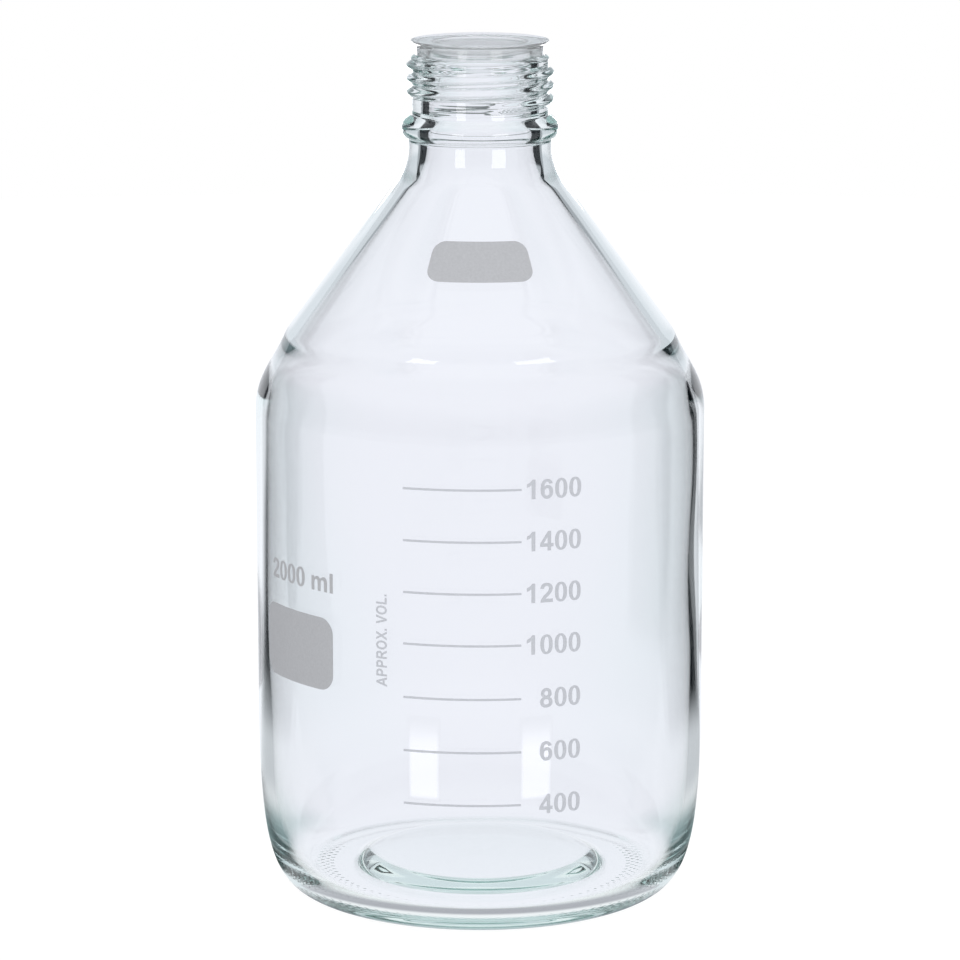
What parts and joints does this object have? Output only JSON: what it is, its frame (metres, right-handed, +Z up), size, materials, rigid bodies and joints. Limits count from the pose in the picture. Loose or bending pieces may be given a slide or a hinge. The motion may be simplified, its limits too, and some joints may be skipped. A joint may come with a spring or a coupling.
{
  "type": "reagent bottle",
  "caption": "Clear glass laboratory bottle with a round shoulder, a screw neck, a pouring ring and a fired enamel scale, for storing and pouring liquids.",
  "frame": {"origin": "centre of the base, on the surface that the bottle stands on", "axes": "+Z up along the bottle's axis; the volume scale faces -Y and the marking field is towards -X"},
  "size_m": [0.136, 0.1362, 0.26],
  "materials": {
    "borosilicate_glass": "gloss",
    "ring_plastic": "satin",
    "fired_enamel": "matte"
  },
  "bodies": {
    "bottle": {"glass_bottle": "borosilicate_glass", "graduation_line_400": "fired_enamel", "graduation_line_600": "fired_enamel", "graduation_line_800": "fired_enamel", "graduation_line_1000": "fired_enamel", "graduation_line_1200": "fired_enamel", "graduation_line_1400": "fired_enamel", "graduation_line_1600": "fired_enamel", "marking_field": "fired_enamel", "shoulder_spot": "fired_enamel"},
    "ring": {"pouring_ring": "ring_plastic"}
  },
  "joints": [
    {"name": "pouring_ring_lift", "type": "slide", "parent": "bottle", "child": "ring", "axis": [0, 0, 1], "range_m": [0, 0.025]}
  ]
}
